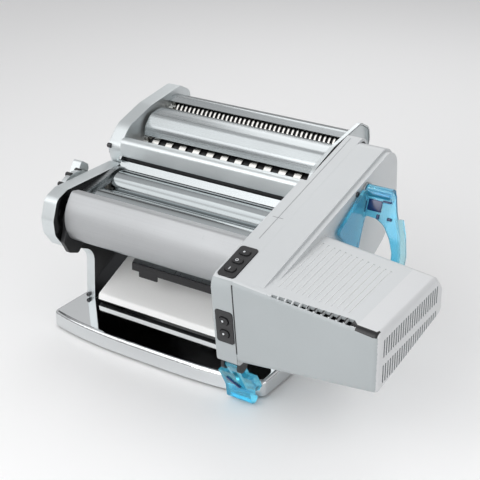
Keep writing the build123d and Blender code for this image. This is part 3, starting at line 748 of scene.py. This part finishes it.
@dataclass
class SheetRoller(SubAssembly):
    """Side panels, covers, smooth rollers, chute and knob."""

    edge: float = 0.35
    panel_x: float = 82.0
    fold_z: float = 79.0
    rod_ends: tuple[Pair, ...] = ((-66.0, 84.0), (-30.0, 66.0), (40.0, 92.0))
    rod_screw: Fastener = Fastener(3.4, 1.6, Drive.CROSS)
    foot_screw: Fastener = Fastener(1.7, 1.6, Drive.CROSS)
    knob_axis: Pair = (-40.9, 95.1)
    knob_radius: float = 22.5
    pad_x: float = -96.6
    pad_count: int = 13
    first_pad: float = 103.0
    tick_x: float = -101.0
    tick_count: int = 10
    first_tick: float = 150.0
    tick_span: float = 150.0

    def build(self) -> None:
        """Dress the sheet roller and add its hardware."""
        panels = self.show(["left_side_panel", "right_side_panel"], "panel_chrome", self.edge)
        for panel in panels:
            # Painted shade: the inner walls of the side panels get the near-black shadowed steel.
            self.paint.touch_up(panel, "shadowed_steel", self._inside_leg)
        cover = self.show(["front_cover"], "satin_steel")[0]
        # Painted shade: the cover's lower band, below fold_z, gets the darker copy of its steel.
        self.paint.touch_up(cover, "fold_shade_steel", lambda centre, normal: centre.z < self.fold_z)
        self.show(["rear_guide_plate", "guard_rails"], "cover_chrome")
        # Painted shade: the rear apron and scrapers get the near-black steel of the shaded inside.
        self.show(["rear_apron", "scrapers"], "shadowed_steel")
        chute = self.show(["exit_chute"], "white_enamel")[0]
        # Painted shade: the chute's downward faces are painted black, as the shade under it.
        self.paint.touch_up(chute, "black_plastic", lambda centre, normal: normal.z < -0.3)
        self.show(["front_roller", "rear_roller"], "roller_steel")
        rods = self.show(["tie_rods", "eccentric_shaft"], "shaft_steel")[0]
        # Painted shade: the low front of the tie rods, at the bracket, gets the near-black shadowed steel.
        self.paint.touch_up(rods, "shadowed_steel", self._low_rod)
        self.show(["front_end_cap"], "black_plastic", 0.3)
        self.dress(["roller_bushes", "slide_blocks"], "nylon")
        self.show(["thickness_knob"], "panel_chrome", 0.3)
        self._screws()
        self._grip_pads()
        self._scale_ticks()

    def _low_rod(self, centre: Vector, normal: Vector) -> bool:
        """Whether a face lies low at the front of the tie rods."""
        return centre.z < 60.0 and centre.y < -31.0

    def _inside_leg(self, centre: Vector, normal: Vector) -> bool:
        """Whether a face is the inner wall of a leg, under the rollers."""
        return abs(normal.x) > 0.9 and abs(abs(centre.x) - self.panel_x) < 0.2 and centre.x * normal.x < 0

    def _screws(self) -> None:
        """Screws at the ends of the tie rods and at the foot of the left leg."""
        pattern = self.rod_screw.build("rod_screw_1")
        for i, (y, z) in enumerate(self.rod_ends):
            head = copy_of(pattern, f"rod_screw_{i + 2}")
            settle(head, at(-self.panel_x - 1.5, y, z), LEFT, 20.0 * i)
            self.keep(head, Body.FRAME, "screw_steel")
        bpy.data.objects.remove(pattern)
        foot = self.foot_screw.build("leg_foot_screw")
        settle(foot, at(-87.6, -44.3, 16.6), Vector((0.0, -1.0, 0.0)), 15.0)
        self.keep(foot, Body.FRAME, "screw_steel")

    def _on_knob(self, x: float, reach: float, angle: float) -> Vector:
        """Place at a distance from the knob's axis, its angle in radians from +Y towards +Z."""
        y, z = self.knob_axis
        return at(x, y + reach * math.cos(angle), z + reach * math.sin(angle))

    def _grip_pads(self) -> None:
        """Dark pads let into the rim of the knob, for the fingers."""
        pattern = new_disc("pattern", 1.9, 5.2, 16)
        raise_top(pattern, 0.5, 0.3)
        apply_bevel(pattern, 0.2, 1)
        pads = []
        for i in range(self.pad_count):
            angle = math.radians(self.first_pad + 360.0 / self.pad_count * i)
            place = self._on_knob(self.pad_x, self.knob_radius - 0.7, angle)
            pads.append(settle(copy_of(pattern, f"pad_{i}"), place, LEFT))
        bpy.data.objects.remove(pattern)
        self.keep(join_pieces(pads, "knob_grip_pads"), Body.KNOB, "black_and_shade")

    def _scale_ticks(self) -> None:
        """Raised ticks on the face of the knob, one for each setting."""
        pattern = new_block("pattern", (2.6, 0.7, 0.35))
        raise_top(pattern, 0.12, 0.06)
        ticks = []
        for i in range(self.tick_count):
            angle = self.first_tick + self.tick_span / (self.tick_count - 1) * i
            place = self._on_knob(self.tick_x, self.knob_radius - 5.0, math.radians(angle))
            tick = copy_of(pattern, f"tick_{i}")
            across = turned(angle, "X") @ turned(90.0, "Y").inverted()
            tick.data.transform(Matrix.Translation(place) @ across)
            ticks.append(tick)
        bpy.data.objects.remove(pattern)
        self.keep(join_pieces(ticks, "knob_scale_ticks"), Body.KNOB, "black_and_shade")


@dataclass
class CutterHead(SubAssembly):
    """End plates, covers and cutters of the lift-off head."""

    edge: float = 0.35
    rim_x: float = 85.1
    groove_reach: float = 9.4
    groove_end: float = 73.9
    axes: tuple[tuple[str, float, float], ...] = (
        ("coarse_front_cutter", 9.85, 116.35), ("coarse_rear_cutter", 28.25, 120.65),
        ("fine_front_cutter", 47.3, 135.35), ("fine_rear_cutter", 65.7, 139.65))
    bolt: Fastener = Fastener(1.9, 3.0, Drive.SLOT)
    bolt_places: tuple[Pair, ...] = ((-4.2, 128.6), (-1.6, 122.6))

    def build(self) -> None:
        """Dress the head and add its bolts and hook."""
        right = self.show(["left_head_plate", "right_head_plate"], "panel_chrome", self.edge)[1]
        # Painted shade: the rounded outer edge of the right end plate is painted black for the shaded gap
        # beside the casing.
        self.paint.touch_up(right, "black_and_shade", self._outer_rim)
        front = self.show(["front_head_cover"], "panel_chrome")[0]
        self.show(["middle_head_cover", "rear_head_cover"], "cover_chrome")
        # Painted shade: the lower edge of the front head cover gets the near-black shadowed steel.
        self.paint.touch_up(front, "shadowed_steel", lambda centre, normal: centre.z < 122.2)
        for node, y, z in self.axes:
            cutter = self.show([node], "cutter_steel")[0]
            # Painted shade: the grooves of each cutter, below its ridges, are painted black.
            self.paint.touch_up(cutter, "black_and_shade", self._groove_test(y, z))
        self.dress(["coarse_combs", "fine_combs"], "black_and_shade")
        self._bolts()
        self._hook()
        self._shade_strip()

    def _outer_rim(self, centre: Vector, normal: Vector) -> bool:
        """Whether a face is in the rounded outer edge of the right end plate."""
        return centre.x > self.rim_x and 0.05 < normal.x < 0.98

    def _groove_test(self, y: float, z: float) -> FaceTest:
        """Test for the faces in the grooves of the cutter whose axis is at this Y and Z."""
        def in_groove(centre: Vector, normal: Vector) -> bool:
            """Whether a face lies lower than the ridges, between the ends."""
            reach = math.hypot(centre.y - y, centre.z - z)
            return reach < self.groove_reach and abs(centre.x) < self.groove_end
        return in_groove

    def _bolts(self) -> None:
        """Two bolts at the foot of the left end plate."""
        pattern = self.bolt.build("pattern")
        for i, (y, z) in enumerate(self.bolt_places):
            head = copy_of(pattern, f"head_bolt_{i + 1}")
            settle(head, at(-91.0, y, z), LEFT, 35.0 * i)
            self.keep(head, Body.FRAME, "screw_steel")
        bpy.data.objects.remove(pattern)

    def _shade_strip(self) -> None:
        """Painted shade: a thin dark strip from plate to plate in the gap below the front cover."""
        strip = Bar((164.4, 0.5, 4.6), 0.1, 0.05, 0.08, 1)
        pose = Matrix.Translation(at(0.0, -1.75, 118.4))
        self.keep(strip.build("head_shade_strip", pose), Body.FRAME, "black_plastic")

    def _hook(self) -> None:
        """Sprung hook inside the left end plate that holds the head down."""
        hook = Bar((2.4, 20.5, 3.4), 0.7, 0.4, 0.35)
        pose = Matrix.Translation(at(-80.4, 0.4, 115.0)) @ turned(-44.0, "X")
        self.keep(hook.build("head_hook", pose), Body.FRAME, "cover_chrome")


@dataclass
class MotorUnit(SubAssembly):
    """Casing, box, controls, lever, clip and what is inside."""

    edge: float = 0.6
    lever_pivot: Triple = (141.0, 12.0, 134.0)
    lever_lean: float = 20.0
    side_screw: Fastener = Fastener(2.1, 1.0, Drive.CROSS)
    slope: Triple = (90.0, -99.5, 115.3)
    face: Triple = (90.0, -115.25, 74.5)
    top_slope: float = 14.8
    face_lean: float = 6.5
    split_x: float = 98.6
    edge_start: Pair = (-119.5, 111.0)
    edge_fall: Pair = (0.0104, 0.0548)
    # Right, low, front and back limits of the grooves in the top of the box.
    groove_box: tuple[float, float, float, float] = (182.0, 104.0, -114.0, -35.0)
    band: Pair = (153.0, 203.0)
    band_breaks: tuple[Pair, ...] = ((167.0, 168.3), (181.8, 183.1))
    score_drop: float = 1.7
    mouth_drop: float = 2.4

    def build(self) -> None:
        """Dress the motor unit and add its marks, screws and the works of its lever."""
        inner = self.show(["casing_inner_half"], "silver_plastic", self.edge)[0]
        outer = welded_skin("casing_outer_and_box", ("casing_outer_half", "motor_box"), 0.4)
        self.paint.put(outer, "silver_plastic")
        cap = self.show(["motor_end_cap"], "cap_plastic", 0.4)[0]
        # Painted shade: faces that look forward get the darker copy of the casing plastic.
        for piece in (inner, outer, cap):
            self.paint.touch_up(piece, "front_shade_plastic", lambda centre, normal: normal.y < -0.7)
        # Painted light: the side walls of the shallow grooves in the box top are painted white, so the
        # grooves show fainter than their shade.
        self.paint.touch_up(outer, "white_enamel", self._in_top_groove)
        breaks = (x for gap in self.band_breaks for x in gap)
        # Painted shade along the vent mouths of the box and of the end cap.
        self._vent_band(outer, (self.band[0], *breaks), (5.0, 8.5), 0.8)
        self._vent_band(cap, (self.band[1],), (5.2, 5.8), 0.3)
        self.paint.touch_up(outer, "black_and_shade", self._at_split)
        self.paint.touch_up(inner, "black_and_shade", self._at_split)
        # Painted shade: the left-facing faces at the back of the inner half are painted black for the shaded
        # gap beside the right end plate.
        self.paint.touch_up(inner, "black_and_shade", lambda centre, normal: normal.x < -0.25 and centre.y > 0.0)
        self._top_seam()
        self._front_seam()
        self.show(["upper_control_panel", "lower_control_panel"], "black_plastic", 0.3)
        self.show([f"upper_button_{i}" for i in (1, 2, 3)], "button_plastic")
        self.show([f"lower_button_{i}" for i in (1, 2)], "button_plastic")
        lever, clip = self.show(["rear_lever", "lower_clip"], "clear_blue", 0.3)
        self.paint.touch_up(lever, "pale_cyan", lambda centre, normal: centre.x > 149.0 and centre.z < 126.0)
        self.paint.touch_up(lever, "strong_blue", lambda centre, normal: centre.z > 128.0)
        self.paint.put(clip, "strong_blue")
        self.dress(["lever_pin"], "shaft_steel")
        self.dress(["clip_bracket", "vent_liner", "gear_plate", "cooling_fan"], "black_plastic")
        self.dress(["roller_drive", "coarse_drive", "link_gear", "fine_drive", "wheel_gear"], "nylon")
        self.dress(["motor_pinion"], "gear_brass")
        self.dress(["motor_can", "gearbox"], "zinc_plate")
        self.dress(["motor_rotor"], "shaft_steel")
        self.dress(["magnet_ring"], "magnet_black")
        self.dress(["circuit_board"], "board_green")
        self.dress(["cord_gland"], "soft_rubber")
        self._side_screw()
        self._marks()
        self._lever_works()
        self._clip_rib()

    def _at_split(self, centre: Vector, normal: Vector) -> bool:
        """Whether a face is the rounded edge of the split line, on the front of the casing."""
        near = abs(centre.x - self.split_x) < 0.7 and centre.z < 109.0
        return near and abs(normal.x) < 0.98 and normal.y < -0.3

    def _in_top_groove(self, centre: Vector, normal: Vector) -> bool:
        """Whether a face is the side of a shallow groove in the top of the box."""
        right, low, front, back = self.groove_box
        inside = self.split_x + 2.0 < centre.x < right and front < centre.y < back
        return abs(normal.x) > 0.6 and inside and centre.z > low

    def _vent_band(self, piece: Piece, cuts: tuple[float, ...], widths: Pair, least_rise: float) -> None:
        """Score a shell along the top front edge and paint shade over the mouth of the vent, wider to the
        right.

        Args:
            piece: The shell.
            cuts: Where the band starts, breaks or ends, as X in machine millimetres.
            widths: Width of the band at its start and at its end, in millimetres.
            least_rise: Faces whose normal has less Z than this stay as they are.
        """
        first, last = self.band
        left, right = (Vector((x, self.edge_y(x), 0.0)) + Vector((0.0, width, 0.0))
                       for x, width in zip(self.band, widths))
        along = Vector((last, 0.0, self.edge_z(last))) - Vector((first, 0.0, self.edge_z(first)))
        planes = [(at(x, 0.0, 0.0), Vector((1.0, 0.0, 0.0))) for x in cuts]
        planes.append((at(*left), (right - left).cross(UP)))
        scored = at(first, 0.0, self.edge_z(first) - self.score_drop)
        planes.append((scored, along.cross(Vector((0.0, 1.0, 0.0)))))
        select_only(piece)
        bpy.ops.object.mode_set(mode="EDIT")
        bpy.ops.mesh.select_all(action="SELECT")
        bpy.ops.mesh.quads_convert_to_tris(quad_method="BEAUTY", ngon_method="BEAUTY")
        for place, normal in planes:
            bpy.ops.mesh.select_all(action="SELECT")
            bpy.ops.mesh.bisect(plane_co=place, plane_no=normal)
        bpy.ops.object.mode_set(mode="OBJECT")

        def in_band(centre: Vector, normal: Vector) -> bool:
            """Whether a face of the shell lies in the dark mouth of the vent."""
            share = (centre.x - first) / (last - first)
            width = widths[0] + share * (widths[1] - widths[0])
            inside = 0.0 < share < 1.0 and not any(a < centre.x < b for a, b in self.band_breaks)
            high = centre.z > self.edge_z(centre.x) - self.mouth_drop
            return inside and high and centre.y < self.edge_y(centre.x) + width and normal.z > least_rise

        # Painted shade: faces in the vent's mouth, and the lands between its slots too, are painted black
        # like the shade inside the slots.
        self.paint.touch_up(piece, "black_and_shade", in_band)
        smooth(piece)

    def edge_y(self, x: float) -> float:
        """Y of the box's top front edge at an X."""
        return self.edge_start[0] - (x - self.split_x) * self.edge_fall[0]

    def edge_z(self, x: float) -> float:
        """Z of the box's top front edge at an X."""
        return self.edge_start[1] - (x - self.split_x) * self.edge_fall[1]

    def _top_seam(self) -> None:
        """Fine seam along the sloping top of the casing, with a short one across it."""
        strips = []
        for size, (x, y) in (((0.4, 128.0, 0.24), (90.4, -12.0)), ((8.5, 0.4, 0.24), (90.2, -50.0))):
            height = 110.0 + (y + 119.5) * math.tan(math.radians(self.top_slope))
            pose = Matrix.Translation(at(x, y, height)) @ turned(self.top_slope, "X")
            strips.append(Bar(size, 0.08, 0.02).build("strip", pose))
        self.keep(join_pieces(strips, "casing_top_seam"), Body.FRAME, "seam_grey")

    def _front_seam(self) -> None:
        """Dark line where the halves of the casing meet, down the front."""
        _, y, z = self.face
        rise = 7.5
        place = (self.split_x, y - rise * math.tan(math.radians(self.face_lean)), z + rise)
        pose = self._panel_pose(place, 180.0 + self.face_lean)
        seam = Bar((1.0, 54.0, 0.4), 0.1, 0.02).build("casing_front_seam", pose)
        self.keep(seam, Body.FRAME, "black_and_shade")

    def _side_screw(self) -> None:
        """Dark screw in the side of the casing, above the lever."""
        head = self.side_screw.build("casing_screw")
        settle(head, at(124.0, -1.0, 135.9), Vector((1.0, 0.0, 0.0)), 30.0)
        self.keep(head, Body.FRAME, "screw_steel")

    def _panel_pose(self, middle: Triple, angle: float) -> Matrix:
        """Pose of a control panel: X along the rollers, Y up the panel, Z out of it.

        Args:
            middle: Its middle in machine millimetres.
            angle: Angle of its outward direction from +Y towards +Z, in degrees.

        Returns:
            The pose as a matrix in metres.
        """
        return Matrix.Translation(at(*middle)) @ turned(angle - 90.0, "X")

    def _marks(self) -> None:
        """Small white marks on the buttons: a bar, a ring and a dot above, two dots below."""
        slope = self._panel_pose(self.slope, 90.0 + self.top_slope)
        face = self._panel_pose(self.face, 180.0 + self.face_lean)
        bodies = ((Body.UPPER_BUTTON_1, slope, -9.0, "bar"), (Body.UPPER_BUTTON_2, slope, 0.0, "ring"),
                  (Body.UPPER_BUTTON_3, slope, 9.0, "dot"), (Body.LOWER_BUTTON_1, face, -5.0, "dot"),
                  (Body.LOWER_BUTTON_2, face, 5.0, "dot"))
        for body, pose, along, form in bodies:
            mark = self._mark(form, f"{body.value}_mark")
            top = self._button_top(body.value, pose)
            mark.data.transform(pose @ Matrix.Translation(Vector((0.0, along * MM, top - 0.00005))))
            self.keep(mark, body, "mark_white")

    def _button_top(self, node: str, pose: Matrix) -> float:
        """How far a button's node stands out of its panel, in metres."""
        twin = frame["nodes"][node].data.copy()
        twin.transform(pose.inverted())
        top = max(corner.co.z for corner in twin.vertices)
        bpy.data.meshes.remove(twin)
        return top

    def _mark(self, form: str, name: str) -> Piece:
        """Model a "bar", a "ring" or a "dot" at the origin."""
        if form == "bar":
            mark = new_block(name, (0.6, 2.4, 0.2))
        else:
            mark = new_disc(name, 1.2 if form == "ring" else 0.8, 0.2, 20)
        if form == "ring":
            carve(mark, settle(new_disc("core", 0.75, 1.0, 20), Vector((0.0, 0.0, -0.0003)), UP))
        else:
            raise_top(mark, 0.12, 0.04)
        return mark

    def _lever_pose(self) -> Matrix:
        """Pose of the lever's plate: X to the right, Y up along the plate, Z out of its front."""
        return Matrix.Translation(at(*self.lever_pivot)) @ turned(90.0 - self.lever_lean, "X")

    def _lever_works(self) -> None:
        """Dark latch inside the lever's crest, its tongue, two small hooks and a rib."""
        works = (("lever_latch", (-5.6, -7.9, 4.3), (10.5, 8.0, 2.4)),
                 ("lever_tongue", (-13.0, -9.8, 4.3), (1.6, 8.0, 2.4)),
                 ("lever_hook_1", (-1.7, -15.0, 5.0), (2.2, 3.4, 1.6)),
                 ("lever_hook_2", (7.2, -15.1, 5.0), (3.4, 2.2, 1.6)),
                 ("lever_rib", (3.2, -3.6, 4.5), (6.5, 1.4, 2.0)))
        for name, place, size in works:
            pose = self._lever_pose() @ Matrix.Translation(Vector(place) * MM)
            bar = Bar(size, min(size[:2]) * 0.2, 0.4, 0.3)
            self.keep(bar.build(name, pose), Body.LEVER, "deep_blue")

    def _clip_rib(self) -> None:
        """Dark rib that runs slantwise across the front of the clip."""
        facing = Vector((0.0, -0.87, -0.49)).to_track_quat("Z", "Y").to_matrix().to_4x4()
        pose = Matrix.Translation(at(84.0, -95.3, 20.0)) @ facing @ turned(38.0, "Z")
        rib = Bar((2.2, 13.0, 1.6), 0.5, 0.3, 0.3)
        self.keep(rib.build("clip_rib", pose), Body.CLIP, "deep_blue")


@dataclass
class Studio:
    """Floor, light and camera."""

    azimuth: float = 33.4
    elevation: float = 25.0
    camera_mm: Triple = (477.4, -683.9, 457.8)
    lens: float = 90.0
    # Height in the room, from 0 straight down to 1 straight up, and the brightness there.
    sky: tuple[Pair, ...] = (
        (0.0, 0.6), (0.48, 0.55), (0.5, 0.03), (0.53, 0.05), (0.56, 0.4), (0.64, 0.62), (0.78, 0.68),
        (0.81, 0.08), (0.84, 0.08), (0.85, 0.5), (0.92, 0.85), (0.955, 0.9), (0.965, 0.15), (0.98, 0.15),
        (1.0, 0.9))

    def build(self) -> None:
        """Build the studio."""
        self._floor()
        self._world()
        self._lamp("key_light", at(-420, -620, 760), 0.9, 2.8)
        self._lamp("fill_light", at(860, -120, 460), 0.8, 2.0)
        self._lamp("low_front_light", at(-40, -900, 500), 0.7, 3.7)
        self._lamp("back_light", at(-200, 700, 700), 0.6, 1.6)
        self._camera()

    def _floor(self) -> None:
        """Pale floor, which isn't part of the machine."""
        bpy.ops.object.select_all(action="DESELECT")
        bpy.ops.mesh.primitive_plane_add(size=14.0, location=(0.0, 0.0, 0.0))
        floor = bpy.context.active_object
        floor.name = "floor"
        material, _, shader = start_material("pale_floor")
        shader.inputs["Base Color"].default_value = (0.92, 0.92, 0.92, 1.0)
        shader.inputs["Roughness"].default_value = 0.35
        floor.data.materials.append(material)

    def _world(self) -> None:
        """Soft room, dark in a band at the horizon and two above it, and evenly pale to the camera."""
        world = bpy.data.worlds.new("studio_room")
        bpy.context.scene.world = world
        world.use_nodes = True
        tree = world.node_tree
        room = tree.nodes["Background"]
        place = add_node(tree, "TexCoord")
        split = add_node(tree, "SeparateXYZ")
        ramp = add_node(tree, "ValToRGB")
        for position, _ in self.sky[1:-1]:
            ramp.color_ramp.elements.new(position)
        for element, (_, value) in zip(ramp.color_ramp.elements, self.sky):
            element.color = (value, value, value * 1.01, 1.0)
        raised = add_node(tree, "Math", {1: 0.5, 2: 0.5}, operation="MULTIPLY_ADD")
        path = add_node(tree, "LightPath")
        plain = add_node(tree, "Background", {"Color": (0.93, 0.93, 0.93, 1.0)})
        mix = add_node(tree, "MixShader")
        wire(tree, (place, "Generated", split, 0), (split, "Z", raised, 0), (raised, 0, ramp, "Fac"),
             (ramp, "Color", room, "Color"), (path, "Is Camera Ray", mix, "Fac"), (room, 0, mix, 1),
             (plain, 0, mix, 2), (mix, 0, tree.nodes["World Output"], "Surface"))

    def _lamp(self, name: str, place: Vector, size: float, power: float) -> None:
        """Add a soft square lamp that faces the machine, in metres and watts."""
        data = bpy.data.lights.new(name, "AREA")
        data.size = size
        data.energy = power
        lamp = bpy.data.objects.new(name, data)
        bpy.context.scene.collection.objects.link(lamp)
        lamp.location = place
        lamp.rotation_mode = "QUATERNION"
        lamp.rotation_quaternion = (at(40, -20, 80) - place).to_track_quat("-Z", "Y")

    def _camera(self) -> None:
        """Add the camera at the front right, a little above."""
        data = bpy.data.cameras.new("camera")
        data.lens = self.lens
        camera = bpy.data.objects.new("camera", data)
        bpy.context.scene.collection.objects.link(camera)
        a, e = math.radians(self.azimuth), math.radians(self.elevation)
        back = Vector((math.sin(a) * math.cos(e), -math.cos(a) * math.cos(e), math.sin(e)))
        camera.location = at(*self.camera_mm)
        camera.rotation_mode = "QUATERNION"
        camera.rotation_quaternion = (-back).to_track_quat("-Z", "Y")
        bpy.context.scene.camera = camera
        bpy.context.scene.view_settings.view_transform = "Standard"


def main() -> None:
    """Build the machine's looks in order, then the studio."""
    logging.basicConfig(level=logging.INFO, format="%(name)s: %(message)s")
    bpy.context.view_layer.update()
    paint = Paintbox()
    for assembly in (Base(paint), SheetRoller(paint), CutterHead(paint), MotorUnit(paint)):
        assembly.build()
    Studio().build()


if __name__ == "__main__":
    main()
